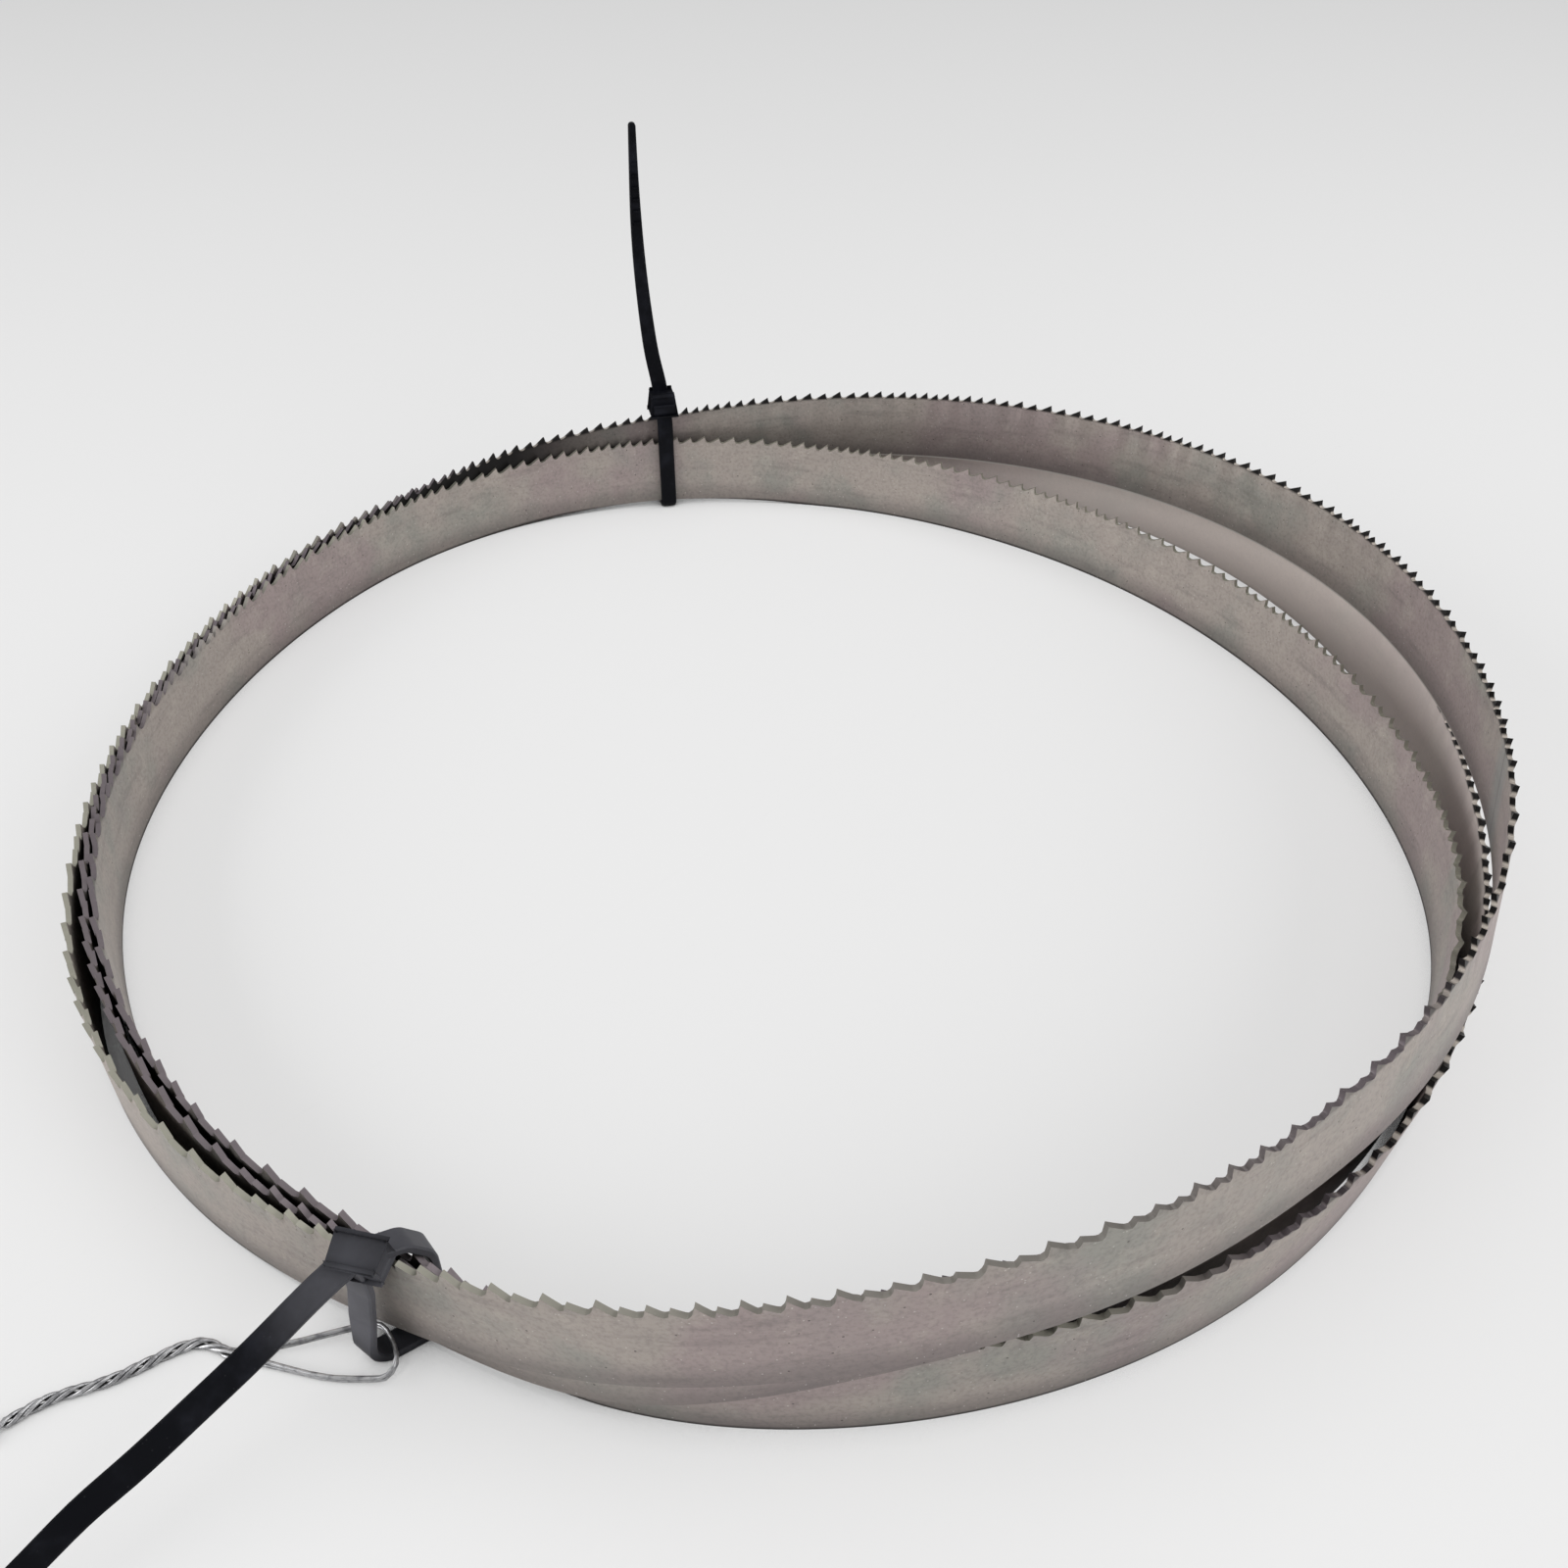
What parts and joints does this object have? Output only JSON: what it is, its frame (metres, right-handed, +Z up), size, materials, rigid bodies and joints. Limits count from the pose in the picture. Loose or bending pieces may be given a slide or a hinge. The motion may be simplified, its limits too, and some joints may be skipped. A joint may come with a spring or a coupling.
{
  "type": "band saw blade",
  "caption": "Narrow closed steel band with variable-pitch teeth, coiled in turns on its smooth edge and bound with straps and a twisted wire.",
  "frame": {"origin": "on the plane that the smooth edge of the band rests on, at the middle of the coil's round opening", "axes": "+Z up, along the axis of the coil, from the smooth edge to the teeth; +Y to the strap that stands up at the back"},
  "size_m": [0.194, 0.2215, 0.0706],
  "materials": {
    "blade": "matt grey steel, faintly mottled",
    "tie": "dark, slightly glossy nylon",
    "wire": "galvanised, dull bright"
  },
  "bodies": {
    "root": {"blade": "blade", "back_tie": "tie", "front_tie": "tie", "twisted_wire": "wire"}
  },
  "joints": []
}
